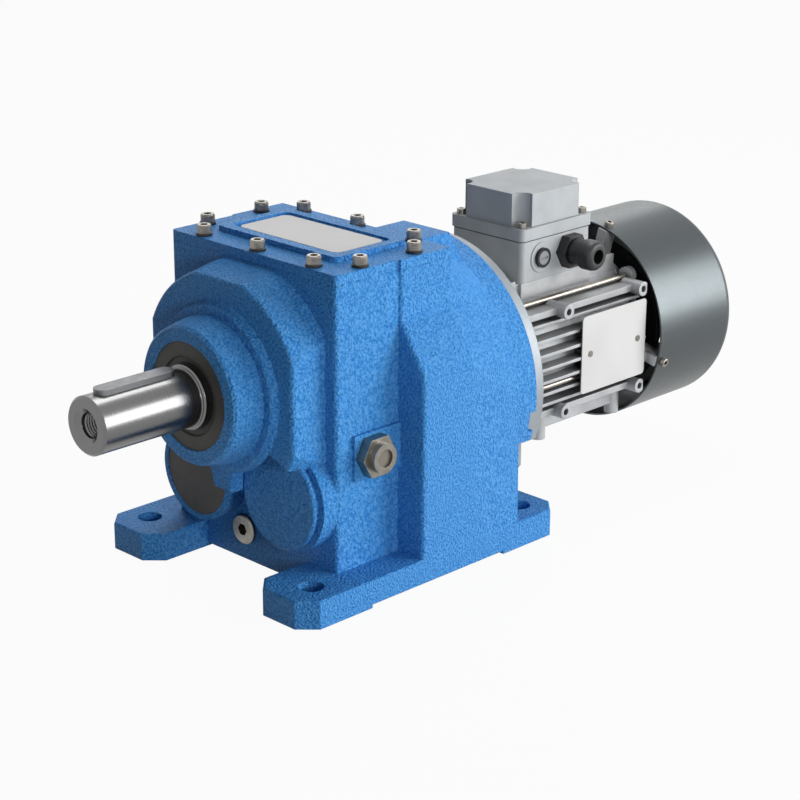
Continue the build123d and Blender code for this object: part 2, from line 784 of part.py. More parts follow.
def output_sleeve():
    """Spacing sleeve between the output gear and the front bearing."""
    gear_front_x = stage_3_x + stage_3[3] / 2
    bearing_rear_x = front_bearing_x - front_bearing[2]
    sleeve = rod(gear_front_x, bearing_rear_x, front_bearing[0] / 2 + 5, *output)
    return sleeve - rod(gear_front_x - 1, bearing_rear_x + 1, front_bearing[0] / 2, *output)


def output_gear():
    width = stage_3[3]
    teeth = helical_teeth(stage_3[2], stage_3, distance_3, -1, -pinion_shift, output_wheel_phase,
                          stage_3_x, width, *output, 2, 1)
    web_r = stage_3[2] * transverse(stage_3, distance_3)[0] / 2 - 9
    hub_r = gear_seat_d / 2 + 11
    wheel = teeth - rod(stage_3_x - width, stage_3_x + width, gear_seat_d / 2, *output)
    for side in (-1, 1):
        x0 = stage_3_x + side * width / 2
        ring = rod(x0 - side * 10, x0 + side, web_r, *output)
        wheel -= ring - rod(x0 - side * 11, x0 + 2 * side, hub_r, *output)
    keyway = feather_key(stage_3_x, 2 * width, gear_key_width, gear_key_height + 0.2,
                         gear_seat_d / 2 - gear_key_sunk, 0)
    return wheel - keyway


def first_countershaft():
    """Bearing seats at both ends, the stage 2 pinion in one with it, and the overhung stage 1 wheel seat."""
    pinion = helical_teeth(stage_2[1], stage_2, distance_2, 1, 0.0, 0.0, stage_2_x,
                           stage_2[3] + pinion_extra, *first, 3, 2)
    seat_r = counter_front_bearing[0] / 2
    front_end = block_front_x - front_wall + counter_front_bearing[2]
    wheel_rear = stage_1_x - stage_1[3] / 2
    wheel_front = stage_1_x + stage_1[3] / 2
    wheel_seat_r = first_wheel_bore / 2 - fit_gap
    shaft = pinion
    shaft += turned([
        (wheel_rear - 3, 0), (wheel_rear - 3, wheel_seat_r - 1), (wheel_rear - 2, wheel_seat_r),
        (wheel_front, wheel_seat_r), (wheel_front, seat_r - fit_gap),
        (mid_wall_front_x, seat_r - fit_gap), (mid_wall_front_x, seat_r + 3), (stage_2_x + 1, seat_r + 3),
        (block_front_x - front_wall, seat_r + 2.5), (block_front_x - front_wall, seat_r - fit_gap),
        (front_end - 1, seat_r - fit_gap), (front_end, seat_r - 1), (front_end, 0),
    ], *first)
    return shaft


def second_countershaft():
    """Bearing seats at both ends, the stage 2 wheel seat and the stage 3 pinion in one with it."""
    pinion = helical_teeth(stage_3[1], stage_3, distance_3, 1, pinion_shift, 0.0, stage_3_x,
                           stage_3[3] + pinion_extra, *second, 3, 4)
    seat_r = counter_front_bearing[0] / 2
    front_end = block_front_x - front_wall + counter_front_bearing[2]
    rear_end = mid_wall_front_x - counter_rear_bearing[2]
    pinion_rear = stage_3_x - (stage_3[3] + pinion_extra) / 2
    wheel_front = stage_2_x + stage_2[3] / 2
    shaft = pinion
    shaft += turned([
        (rear_end, 0), (rear_end, seat_r - 1), (rear_end + 1, seat_r - fit_gap),
        (mid_wall_front_x, seat_r - fit_gap), (mid_wall_front_x, second_wheel_bore / 2 - fit_gap),
        (wheel_front, second_wheel_bore / 2 - fit_gap), (wheel_front, second_wheel_bore / 2 + 2),
        (pinion_rear - 2, second_wheel_bore / 2 + 2), (pinion_rear - 2, seat_r + 1), (stage_3_x, seat_r + 1),
        (block_front_x - front_wall, seat_r + 1), (block_front_x - front_wall, seat_r - fit_gap),
        (front_end - 1, seat_r - fit_gap), (front_end, seat_r - 1), (front_end, 0),
    ], *second)
    return shaft


def wheel(stage, distance, hand, phase, x_mid, centre, bore, rim, web):
    """A helical wheel with a turned web on both sides."""
    width = stage[3]
    teeth = helical_teeth(stage[2], stage, distance, hand, 0.0 if stage is stage_2 else -pinion_shift,
                          phase, x_mid, width, *centre, 2, 1)
    rim_r = stage[2] * transverse(stage, distance)[0] / 2 - rim
    hub_r = bore / 2 + 7
    body = teeth - rod(x_mid - width, x_mid + width, bore / 2, *centre)
    for side in (-1, 1):
        x0 = x_mid + side * width / 2
        x1 = x_mid + side * web / 2
        body -= rod(x1, x0 + side, rim_r, *centre) - rod(x1 - side, x0 + 2 * side, hub_r, *centre)
    return body


def input_pinion():
    pinion = helical_teeth(stage_1[1], stage_1, distance_1, 1, pinion_shift, 0.0, stage_1_x,
                           stage_1[3] + pinion_extra, *motor, 3, 4)
    return pinion - rod(stage_1_x - 20, stage_1_x + 20, pinion_seat_d / 2, *motor)


# Motor

def motor_shaft():
    half = motor_shaft_d / 2
    front_x = stage_1_x + stage_1[3] / 2 + 2
    seat_x = stage_1_x - stage_1[3] / 2 - pinion_extra
    fan_end_x = cowl_rear_x + 34
    fan_seat_x = frame_rear_x - 14
    core_front_x = rotor_front_x() + 6
    core_rear_x = rotor_front_x() - stator_length - 6
    pinion_seat_r = pinion_seat_d / 2 - fit_gap
    return turned([
        (fan_end_x, 0), (fan_end_x, half - 4), (fan_seat_x, half - 4), (fan_seat_x, half - fit_gap),
        (core_rear_x, half - fit_gap), (core_rear_x, half + 3), (core_front_x, half + 3),
        (core_front_x, half - fit_gap), (seat_x, half - fit_gap), (seat_x, pinion_seat_r),
        (front_x - 1, pinion_seat_r),
        (front_x, pinion_seat_d / 2 - 1), (front_x, 0),
    ], *motor)


def rotor_front_x():
    """Front face of the rotor and stator stacks, centred in the frame."""
    return (frame_front_x + frame_rear_x) / 2 + stator_length / 2


def rotor_core():
    """Laminated core with its cast end rings and short cooling vanes."""
    front = rotor_front_x()
    back = front - stator_length
    core = rod(back, front, rotor_r, *motor)
    core += rod(back - 6, front + 6, rotor_r - 4, *motor)
    return core - rod(back - 10, front + 10, motor_shaft_d / 2 + 3, *motor)


def stator():
    """Laminated stack, and the winding heads at both ends."""
    front = rotor_front_x()
    back = front - stator_length
    inner = rotor_r + air_gap
    stack = rod(back, front, bore_r - fit_gap, *motor) - rod(back - 1, front + 1, inner, *motor)
    heads = []
    for x0, side in ((front, 1), (back, -1)):
        x1 = x0 + side * winding_overhang
        heads.append(turned([
            (x0, inner + 2), (x0, bore_r - 4), (x1 - side * 4, bore_r - 5), (x1, bore_r - 9),
            (x1, inner + 6), (x1 - side * 4, inner + 3),
        ], *motor))
    return stack, group(heads)


def frame_fins():
    """Horizontal fins on both sides and upright fins above and below, each with tapered ends."""
    fins = []
    count = int(foot_boss_z // fin_pitch)
    for k in range(-count, count + 1):
        offset = k * fin_pitch
        reach = math.sqrt(fin_r ** 2 - offset ** 2)
        for side in (-1, 1):
            profile = [
                (frame_front_x, side * 30), (frame_rear_x, side * 30), (frame_rear_x, side * reach),
                (frame_front_x - fin_taper, side * reach), (frame_front_x - 4, side * (frame_r + 1)),
                (frame_front_x, side * (frame_r - 4)),
            ]
            outline = make_face(Polyline(*profile, close=True))
            flat = extrude(Pos(0, 0, motor_z + offset - fin_thick / 2) * outline, amount=fin_thick)
            fins.append(flat)
            fins.append(Pos(0, 0, motor_z) * Rot(90, 0, 0) * Pos(0, 0, -motor_z) * flat)
    return fins


def motor_frame():
    """Die-cast stator housing with fins, foot bosses on three sides and the terminal box seat."""
    frame = rod(frame_rear_x, frame_front_x, frame_r, *motor) + frame_fins()
    for x in (foot_boss_front_x, foot_boss_rear_x):
        for dz in (-foot_boss_z, foot_boss_z):
            for side in (-1, 1):
                frame += stub(side * 30, side * foot_boss_y, foot_boss_r, x, motor_z + dz)
    for y in (-foot_boss_z, foot_boss_z):
        frame += box(frame_rear_x, frame_front_x - 10, y - web_thick / 2, y + web_thick / 2,
                     motor_z - foot_boss_y + 8, motor_z - 30)
    frame -= box(box_rear_x - 2, box_front_x + 2, -box_half - 1, box_half + 1, box_floor_z, box_top_z)
    for dz in (-foot_boss_z, foot_boss_z):
        frame += box(frame_rear_x, frame_front_x - 10, 8 - foot_boss_y, foot_boss_y - 8,
                     motor_z + dz - web_thick / 2, motor_z + dz + web_thick / 2)
    frame += box(box_rear_x + 1, box_front_x - 1, 1 - box_half, box_half - 1, motor_z + 40, box_floor_z)
    for x in (foot_boss_front_x, foot_boss_rear_x):
        for y in (-foot_boss_z, foot_boss_z):
            frame += post(motor_z - foot_boss_y, motor_z - 30, foot_boss_r, x, y)
    for x, z in rivet_places():
        frame += stub(30, fin_r, 2 * rivet_r, x, z)
    frame -= rod(frame_rear_x - 1, frame_front_x + 1, bore_r, *motor)
    frame -= box(frame_rear_x - 10, frame_rear_x, -fin_r, fin_r, motor_z - fin_r, motor_z + fin_r)
    for x, z in rivet_places():
        frame -= stub(fin_r - 6, fin_r + 1, rivet_r, x, z)
    for x in (foot_boss_front_x, foot_boss_rear_x):
        for dz in (-foot_boss_z, foot_boss_z):
            for side in (-1, 1):
                hole_y = (side * (foot_boss_y - 14), side * (foot_boss_y + 1))
                frame -= stub(*hole_y, foot_boss_hole_r, x, motor_z + dz)
        for y in (-foot_boss_z, foot_boss_z):
            frame -= post(motor_z - foot_boss_y - 1, motor_z - foot_boss_y + 14, foot_boss_hole_r, x, y)
    for y, z in rod_places():
        frame -= rod(frame_rear_x - 1, frame_front_x + 1, rod_r + 0.4, y, z)
    return frame


def rod_places():
    """The places of the four tie rods, as (y, z)."""
    turns = [math.radians(angle) for angle in rod_angles]
    return [(rod_ring_r * math.cos(t), motor_z + rod_ring_r * math.sin(t)) for t in turns]


def tie_rods():
    """The four long bolts that hold both end shields on the frame."""
    rods = []
    for y, z in rod_places():
        bolt = rod(frame_rear_x - 5, frame_front_x + rod_seat, rod_r, y, z)
        head = Pos(frame_front_x + rod_seat, y, z) * Rot(0, 90, 0) * hex_block(*rod_head)
        rods.append(bolt + head)
    return group(rods)


def front_shield():
    """Motor flange in one with the front end shield and its bearing seat."""
    face_x = bell_rear_x
    back = face_x - flange_thick
    bearing_x = front_motor_bearing_x()
    seat_r = motor_bearing[1] / 2
    shield = turned([
        (face_x + spigot_depth, motor_seal_od / 2), (face_x + spigot_depth, spigot_r - fit_gap),
        (face_x, spigot_r - fit_gap), (face_x, flange_r), (back, flange_r), (back, shield_r),
        (frame_front_x + 6, shield_r - 6), (frame_front_x, frame_r + 5), (frame_front_x, bore_r - fit_gap),
        (frame_front_x - 4, bore_r - fit_gap),
        (frame_front_x - 4, bore_r - 5), (back, bore_r - 9), (back, seat_r + 6),
        (bearing_x - motor_bearing[2], seat_r + 6), (bearing_x - motor_bearing[2], seat_r),
        (bearing_x, seat_r), (bearing_x, motor_seal_od / 2),
    ], *motor)
    for side in (-1, 1):
        shield -= box(back - 1, face_x + spigot_depth + 1, side * bell_notch_y, side * (flange_r + 5),
                      -1, bell_notch_z - 4)
    for y, z in rod_places():
        shield += rod(frame_front_x, frame_front_x + rod_seat, rod_r + 3.5, y, z)
    for y, z in rod_places():
        shield -= rod(frame_front_x - 1, frame_front_x + rod_seat + 1, rod_r + 0.1, y, z)
        shield -= rod(frame_front_x + rod_seat, back, rod_r + 2.8, y, z)
    for y, z in flange_bolt_places():
        shield -= rod(back - 1, face_x + 1, flange_bolt[0] / 2 + 0.3, y, z)
        shield -= rod(frame_front_x, back, flange_bolt[1] / 2 + 3, y, z)
    return shield


def front_motor_bearing_x():
    return bell_rear_x - 4.0


def motor_shaft_seal():
    """Seal that keeps the oil out of the motor."""
    half = motor_shaft_d / 2
    front = bell_rear_x + spigot_depth
    back = front_motor_bearing_x() + 0.3
    return turned([
        (back, half + 2.5), (back, motor_seal_od / 2 - fit_gap), (front, motor_seal_od / 2 - fit_gap),
        (front, half + 1.5), (front - 1, half + 0.05), (front - 2, half + 0.05), (front - 2.5, half + 2.5),
    ], *motor)


def flange_bolts():
    """Hexagon bolts through the motor flange into the bell."""
    bolts = []
    head_x = bell_rear_x - flange_thick
    for y, z in flange_bolt_places():
        shank = rod(head_x, bell_rear_x + front_wall - 3, flange_bolt[0] / 2 - fit_gap, y, z)
        head = Pos(head_x, y, z) * Rot(0, -90, 0) * hex_block(flange_bolt[1], flange_bolt[2])
        bolts.append(shank + head)
    return group(bolts)


def rear_shield():
    """Rear end shield with its bearing seat, inside the cowl."""
    x = frame_rear_x
    seat_r = motor_bearing[1] / 2
    shield = turned([
        (x + 4, bore_r - 6), (x + 4, bore_r - fit_gap), (x, bore_r - fit_gap), (x, frame_r + 0.5),
        (x - 6, frame_r + 0.5), (x - 8, frame_r - 2), (x - 8, seat_r + 5), (x - 16, seat_r + 3),
        (x - 16, motor_shaft_d / 2 + 1), (x - 14, motor_shaft_d / 2 + 1), (x - 14, seat_r), (x, seat_r),
        (x, bore_r - 6),
    ], *motor)
    for y, z in rod_places():
        shield += rod(x - 6, x, rod_r + 4, y, z)
    for angle in cowl_screw_angles:
        lug = box(x - 14, x - 2, -4, 4, frame_r - 3, cowl_r - cowl_wall - 0.3)
        shield += Pos(0, 0, motor_z) * Rot(angle - 90, 0, 0) * lug
    for y, z in rod_places():
        shield -= rod(x - 5, x + 10, rod_r, y, z)
    for angle in cowl_screw_angles:
        shield -= radial_rod(cowl_screw_x, angle, frame_r + 8, cowl_r, m4[0] / 2)
    return shield


def radial_rod(x, angle, r0, r1, radius):
    """A cylinder that points away from the motor's axis."""
    return Pos(x, 0, motor_z) * Rot(angle - 90, 0, 0) * post(r0, r1, radius)


def fan_cowl():
    """Deep-drawn cowl, open to the frame, with ring slots in its back."""
    def drum(inset):
        solid = rod(cowl_rear_x + inset, cowl_front_x + inset, cowl_r - inset)
        back_edge = solid.edges().filter_by(GeomType.CIRCLE).sort_by(Axis.X)[0]
        return Pos(0, 0, motor_z) * fillet(back_edge, cowl_corner - inset)

    cowl = drum(0) - drum(cowl_wall)
    for ring in range(cowl_rings):
        ring_r = cowl_slot_start + ring * cowl_slot_pitch
        slot = rod(cowl_rear_x - 1, cowl_rear_x + cowl_wall + 1, ring_r + cowl_slot / 2, *motor)
        slot -= rod(cowl_rear_x - 2, cowl_rear_x + cowl_wall + 2, ring_r - cowl_slot / 2, *motor)
        for turn in (0, 60, 120):
            bar = Pos(0, 0, motor_z) * Rot(turn, 0, 0) * Box(1000, 2 * cowl_r, cowl_bar)
            slot -= bar
        cowl -= slot
    for angle in cowl_screw_angles:
        cowl -= radial_rod(cowl_screw_x, angle, frame_r, cowl_r + 5, m4[0] / 2 + 0.2)
    return cowl


def cowl_screws():
    screws = []
    for angle in cowl_screw_angles:
        screw = Pos(0, 0, cowl_r) * socket_screw(m4, 7)
        screws.append(Pos(cowl_screw_x, 0, motor_z) * Rot(angle - 90, 0, 0) * screw)
    return group(screws)


def cooling_fan():
    """Moulded fan: hub, disc and straight blades."""
    hub_x0 = cowl_rear_x + 36
    hub_x1 = frame_rear_x - 20
    bore = motor_shaft_d / 2 - 4
    fan = rod(hub_x0, hub_x1, bore + 8, *motor)
    fan += rod(hub_x1 - 5, hub_x1, fan_r - 6, *motor)
    for k in range(fan_blades):
        blade = box(hub_x0, hub_x1 - 2, bore + 4, fan_r, -1.2, 1.2)
        fan += Pos(0, 0, motor_z) * Rot(360 * k / fan_blades, 0, 0) * blade
    return fan - rod(hub_x0 - 5, hub_x1 + 5, bore, *motor)


# Terminal box

def box_plan(z, inset, corner):
    return Pos((box_front_x + box_rear_x) / 2, 0, z) * RectangleRounded(
        box_front_x - box_rear_x - 2 * inset, 2 * (box_half - inset), corner)


def lid_screw_places():
    cx = (box_front_x + box_rear_x) / 2
    dx = (box_front_x - box_rear_x) / 2 - lid_screw_inset
    dy = box_half - lid_screw_inset
    return [(cx + sx * dx, sy * dy) for sx in (-1, 1) for sy in (-1, 1)]


def terminal_box():
    low = box_floor_z
    shell = extrude(box_plan(low, 1, box_corner), amount=box_top_z - low)
    shell -= extrude(box_plan(low + box_wall, box_wall + 1, box_corner - 1), amount=box_top_z)
    for x, y in lid_screw_places():
        shell += post(low, box_top_z, 4.5, x, y)
    shell += stub(box_half - 3, box_half - 1 + blank_pad_rise, blank_pad_r, blank_x, entry_z)
    for x, radius in ((gland_x, gland_hole_r), (blank_x, blank_hole_r)):
        shell -= stub(box_half - 8, box_half + 4, radius, x, entry_z)
    for x, y in lid_screw_places():
        shell -= post(box_top_z - 12, box_top_z + 1, m4[0] / 2, x, y)
    return shell


def box_gasket():
    seal = extrude(box_plan(box_top_z, 1.2, box_corner - 0.2), amount=box_seam)
    seal -= extrude(box_plan(box_top_z - 1, 4, box_corner - 2), amount=box_seam + 2)
    for x, y in lid_screw_places():
        seal += post(box_top_z, box_top_z + box_seam, 4.5, x, y)
        seal -= post(box_top_z - 1, box_top_z + box_seam + 1, m4[0] / 2, x, y)
    return seal


def terminal_box_lid():
    base = box_top_z + box_seam
    flange_top = base + lid_flange
    lid = extrude(box_plan(base, 0, box_corner), amount=lid_flange)
    dome = extrude(box_plan(flange_top - 1, lid_inset, box_corner), amount=lid_top_z - flange_top + 1)
    for x, y in lid_screw_places():
        dome -= post(flange_top, lid_top_z + 1, lid_notch_r, x, y)
    lid += dome
    lid -= extrude(box_plan(base - 1, lid_inset + 9, 3), amount=lid_top_z - base - box_wall + 1)
    for x, y in lid_screw_places():
        lid -= post(base - 1, flange_top + 1, m4[0] / 2 + 0.2, x, y)
    return lid


def lid_screws():
    seat = box_top_z + box_seam + lid_flange
    length = lid_flange + box_seam + 9
    return group(Pos(x, y, seat) * socket_screw(m4, length) for x, y in lid_screw_places())


def terminal_board():
    """Six-stud terminal board with its bridges."""
    z = box_floor_z + box_wall
    cx = (box_front_x + box_rear_x) / 2
    stud_y = board_width / 4
    board = slab(z, z + 6, cx - board_length / 2, cx + board_length / 2, board_width / 2, 2)
    for k in (-1, 0, 1):
        x = cx + stud_pitch * k
        board += post(z + 5, z + 16, 2, x, -stud_y) + post(z + 5, z + 16, 2, x, stud_y)
        board += box(x - 3, x + 3, -stud_y - 4, stud_y + 4, z + 8, z + 9.2)
    return board


def cable_gland():
    """Gland body screwed into the box, and its clamping nut with the bore for the cable."""
    face_y = box_half - 1
    turn = Pos(gland_x, face_y, entry_z) * Rot(-90, 0, 0)
    body = hex_block(gland_hex, 8) + Pos(0, 0, -2.5) * Cylinder(gland_hole_r - fit_gap, 9)
    body += Pos(0, 0, 8) * Cylinder(9, 10)
    body -= Cylinder(gland_bore_r, 200)
    nut_r = gland_hex / 2 - 0.5
    nut = turned([
        (9, 9), (9, nut_r - 1.2), (17, nut_r - 1.2), (17.6, nut_r - 0.2), (18.6, nut_r), (24.5, nut_r),
        (27.5, nut_r - 0.7), (gland_reach - 0.8, nut_r - 2), (gland_reach, nut_r - 3.6),
        (gland_reach, gland_bore_r), (18, gland_bore_r), (18, 9),
    ])
    return turn * body, turn * Rot(0, -90, 0) * nut


def blanking_plug():
    face_y = box_half - 1 + blank_pad_rise
    turn = Pos(blank_x, face_y, entry_z) * Rot(-90, 0, 0)
    plug = Pos(0, 0, 1.25) * Cylinder(blank_hole_r + 2.5, 2.5)
    plug += Pos(0, 0, -2) * Cylinder(blank_hole_r - fit_gap, 5)
    plug -= Pos(0, 0, 2.5) * Box(8, 1.6, 2)
    return turn * plug


def rivet_places():
    """The places of the nameplate rivets, as (x, z)."""
    middle_z = (name_low_z + name_high_z) / 2
    return [(name_front_x - rivet_inset, middle_z), (name_rear_x + rivet_inset, middle_z)]


def nameplate():
    """Bare plate on the fins, and its two rivets."""
    plate = box(name_rear_x, name_front_x, fin_r, fin_r + name_thick, name_low_z, name_high_z)
    plate = fillet(plate.edges().filter_by(Axis.Y), name_corner)
    rivets = []
    for x, z in rivet_places():
        plate -= stub(fin_r - 1, fin_r + 2, rivet_r, x, z)
        rivets.append(stub(fin_r - 3, fin_r + name_thick, rivet_r - fit_gap, x, z)
                      + stub(fin_r + name_thick, fin_r + name_thick + 0.6, rivet_r + 0.8, x, z))
    return plate, group(rivets)


def main():
    os.makedirs("parts", exist_ok=True)
    screws, washers = cover_fasteners()
    left_cap, right_cap = closing_caps()
    sight_body, sight_glass = oil_sight_plug()
    stack, windings = stator()
    gland, gland_nut = cable_gland()
    plate, rivets = nameplate()
    counter_front_x = block_front_x - front_wall + counter_front_bearing[2]
    output_bearings = bearing_set([(front_bearing, front_bearing_x, output),
                                   (rear_bearing, mid_wall_front_x, output)])
    first_bearings = bearing_set([(counter_front_bearing, counter_front_x, first),
                                  (counter_rear_bearing, mid_wall_front_x, first)])
    second_bearings = bearing_set([(counter_front_bearing, counter_front_x, second),
                                   (counter_rear_bearing, mid_wall_front_x, second)])
    motor_bearings = bearing_set([(motor_bearing, front_motor_bearing_x(), motor),
                                  (motor_bearing, frame_rear_x, motor)])
    parts = {
        "housing": housing(),
        "top_cover": top_cover(),
        "cover_gasket": cover_gasket(),
        "cover_plate": cover_plate(),
        "cover_screws": group(screws),
        "cover_washers": group(washers),
        "left_closing_cap": left_cap,
        "right_closing_cap": right_cap,
        "drain_plug": drain_plug(),
        "oil_sight_plug": sight_body,
        "oil_sight_glass": sight_glass,
        "output_seal": output_seal(),
        "output_shaft": output_shaft(),
        "output_key": feather_key(key_x(), key_length, key_width, key_height, shaft_d / 2 - key_sunk, 0.02),
        "output_gear": output_gear(),
        "output_gear_key": feather_key(stage_3_x, stage_3[3] - 4, gear_key_width, gear_key_height,
                                       gear_seat_d / 2 - gear_key_sunk, 0.02),
        "output_sleeve": output_sleeve(),
        "countershaft_1": first_countershaft(),
        "countershaft_1_wheel": wheel(stage_1, distance_1, -1, first_wheel_phase, stage_1_x, first,
                                      first_wheel_bore, 6.0, 7.0),
        "countershaft_2": second_countershaft(),
        "countershaft_2_wheel": wheel(stage_2, distance_2, -1, second_wheel_phase, stage_2_x, second,
                                      second_wheel_bore, 7.0, 9.0),
        "input_pinion": input_pinion(),
        "motor_flange": front_shield(),
        "flange_bolts": flange_bolts(),
        "motor_frame": motor_frame(),
        "stator_core": stack,
        "stator_windings": windings,
        "rear_end_shield": rear_shield(),
        "tie_rods": tie_rods(),
        "motor_shaft": motor_shaft(),
        "rotor_core": rotor_core(),
        "cooling_fan": cooling_fan(),
        "fan_cowl": fan_cowl(),
        "cowl_screws": cowl_screws(),
        "motor_shaft_seal": motor_shaft_seal(),
        "terminal_box": terminal_box(),
        "terminal_box_gasket": box_gasket(),
        "terminal_box_lid": terminal_box_lid(),
        "lid_screws": lid_screws(),
        "terminal_board": terminal_board(),
        "cable_gland": gland,
        "cable_gland_nut": gland_nut,
        "blanking_plug": blanking_plug(),
        "nameplate": plate,
        "nameplate_rivets": rivets,
    }
    sets = {"output": output_bearings, "countershaft_1": first_bearings, "countershaft_2": second_bearings,
            "motor": motor_bearings}
    for name, (outer, inner) in sets.items():
        parts[name + "_outer_rings"] = outer
        parts[name + "_inner_rings"] = inner
    for name, shape in parts.items():
        export_step(shape, f"parts/{name}.step")


main()
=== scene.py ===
import bpy
import math
from mathutils import Matrix, Vector


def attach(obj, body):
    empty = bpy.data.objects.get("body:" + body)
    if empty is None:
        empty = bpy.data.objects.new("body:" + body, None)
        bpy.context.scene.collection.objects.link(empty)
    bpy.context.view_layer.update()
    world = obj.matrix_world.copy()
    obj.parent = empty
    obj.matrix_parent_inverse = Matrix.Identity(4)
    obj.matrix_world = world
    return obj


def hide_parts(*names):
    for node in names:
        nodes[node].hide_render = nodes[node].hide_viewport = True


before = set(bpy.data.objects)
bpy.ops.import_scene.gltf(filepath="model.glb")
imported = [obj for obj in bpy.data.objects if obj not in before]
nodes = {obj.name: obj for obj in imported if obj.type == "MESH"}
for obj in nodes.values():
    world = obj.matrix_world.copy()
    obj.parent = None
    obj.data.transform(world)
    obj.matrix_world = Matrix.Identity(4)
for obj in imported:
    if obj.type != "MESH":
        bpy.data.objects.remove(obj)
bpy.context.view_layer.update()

# Inline helical gearmotor. Metres, in the frame of the CAD model:
# +X out through the output shaft, +Z up, +Y the side with the oil sight plug.

mm = 0.001

# Axes of the turning parts, in millimetres
output_axis_z = 140.0
motor_axis_z = 108.0

# Screws of the gearcase cover: seat of the heads, and their rows
cover_screw_seat_z = 229.6
cover_screw_end_x = (69.8, -22.8)
cover_screw_end_y = (-55.2, 0.0, 55.2)
cover_screw_side_x = (-1.5, 48.5)
cover_screw_side_y = (-76.5, 76.5)

# Blanking plug of the terminal box
plug_x = -177.5
plug_z = 182.5
plug_button_r = 5.0

# Tapped centre hole of the output shaft
thread_mouth_x = 213.8
thread_depth = 30.0
thread_pitch = 2.0
thread_root_r = 8.2
thread_crest_r = 7.1
thread_wall = 0.2
thread_steps = 32

# Lamps: name, place, size in metres and power in watts
lamps = [
    ("key_square_on_the_side", (0.55, 1.9, 0.62), (0.5, 0.5), 14.0),
    ("band_for_the_round_metal", (-1.36, 1.56, 0.66), (1.5, 1.2), 41.0),
    ("sheen_from_behind", (-1.3, -1.15, 0.95), (1.0, 0.6), 3.0),
    ("light_from_above", (-0.7, -0.5, 1.9), (1.0, 1.0), 16.0),
]
lamp_aim = (0.0, 0.0, 0.12)
world_strength = 0.05
floor_half = 3.0
floor_glow = 0.95

# Photograph's view
view_azimuth = 134.873
view_elevation = 19.284
view_roll = 0.232
view_distance = 1.5551
view_right = 0.0467
view_up = 0.0989
view_focal = 2144.5
picture_side = 800.0
sensor_width = 36.0


# Shared helpers

def linear(code):
    """A colour written as sRGB hex, as the linear values that the shaders take."""
    levels = [int(code[k:k + 2], 16) / 255 for k in (1, 3, 5)]
    return [v / 12.92 if v <= 0.04045 else ((v + 0.055) / 1.055) ** 2.4 for v in levels] + [1.0]


def add(tree, kind, values=None, links=None, **settings):
    """One node with its settings, the values of its inputs and the sockets that feed them."""
    made = tree.nodes.new(kind)
    for name, value in settings.items():
        setattr(made, name, value)
    for name, value in (values or {}).items():
        made.inputs[name].default_value = value
    for name, socket in (links or {}).items():
        tree.links.new(socket, made.inputs[name])
    return made


def surface(name, colour, roughness, metallic=0.0, **values):
    """A material with one shader, whose constants are set on the shader's own sockets."""
    material = bpy.data.materials.new(name)
    material.use_nodes = True
    tree = material.node_tree
    shader = tree.nodes["Principled BSDF"]
    shader.inputs["Base Color"].default_value = linear(colour)
    shader.inputs["Roughness"].default_value = roughness
    shader.inputs["Metallic"].default_value = metallic
    for socket, value in values.items():
        shader.inputs[socket.replace("_", " ")].default_value = value
    return material, tree, shader


def grain(tree, size_mm, detail=2.0, vector=None):
    """Noise whose spots are about size_mm across, on Object coordinates."""
    source = vector or add(tree, "ShaderNodeTexCoord").outputs["Object"]
    return add(tree, "ShaderNodeTexNoise", {"Scale": 1 / (size_mm * mm), "Detail": detail},
               {"Vector": source}).outputs["Fac"]


def relief(tree, shader, height, depth_mm, strength, edge_mm=0.0, below=None):
    """Bump of a real depth, over edges that look rounded to edge_mm."""
    links = {"Height": height}
    if below:
        links["Normal"] = below
    elif edge_mm:
        edge = add(tree, "ShaderNodeBevel", {"Radius": edge_mm * mm}, samples=6)
        links["Normal"] = edge.outputs["Normal"]
    bump = add(tree, "ShaderNodeBump", {"Strength": strength, "Distance": depth_mm * mm}, links)
    tree.links.new(bump.outputs["Normal"], shader.inputs["Normal"])
    return bump.outputs["Normal"]


def shift_colour(tree, shader, driver, low, high, start=0.35, end=0.65):
    """Base colour that wanders between two hex values."""
    ramp = add(tree, "ShaderNodeValToRGB", links={"Fac": driver})
    ramp.color_ramp.elements[0].position = start
    ramp.color_ramp.elements[1].position = end
    ramp.color_ramp.elements[0].color = linear(low)
    ramp.color_ramp.elements[1].color = linear(high)
    tree.links.new(ramp.outputs["Color"], shader.inputs["Base Color"])
    return ramp.outputs["Color"]


def shift_roughness(tree, shader, driver, low, high):
    """Roughness that wanders between two values."""
    limits = {"From Min": 0.3, "From Max": 0.7, "To Min": low, "To Max": high}
    spread = add(tree, "ShaderNodeMapRange", limits, {"Value": driver})
    tree.links.new(spread.outputs["Result"], shader.inputs["Roughness"])


def paint_shade_in_recesses(tree, shader, base, recess_shade, reach_mm):
    """Painted shade: the base colour goes over to a darker one where the surface is hemmed in, as ambient
    occlusion finds it.
    """
    openness = add(tree, "ShaderNodeAmbientOcclusion", {"Distance": reach_mm * mm}, samples=8)
    spread = add(tree, "ShaderNodeMapRange", {"From Min": 0.1, "From Max": 0.6},
                 {"Value": openness.outputs["AO"]})
    # Painted shade: the darker colour mixed in where ambient occlusion is low.
    mixed = add(tree, "ShaderNodeMix", {"A": linear(recess_shade)}, {"Factor": spread.outputs["Result"], "B": base},
                data_type="RGBA")
    tree.links.new(mixed.outputs["Result"], shader.inputs["Base Color"])


# Finishes

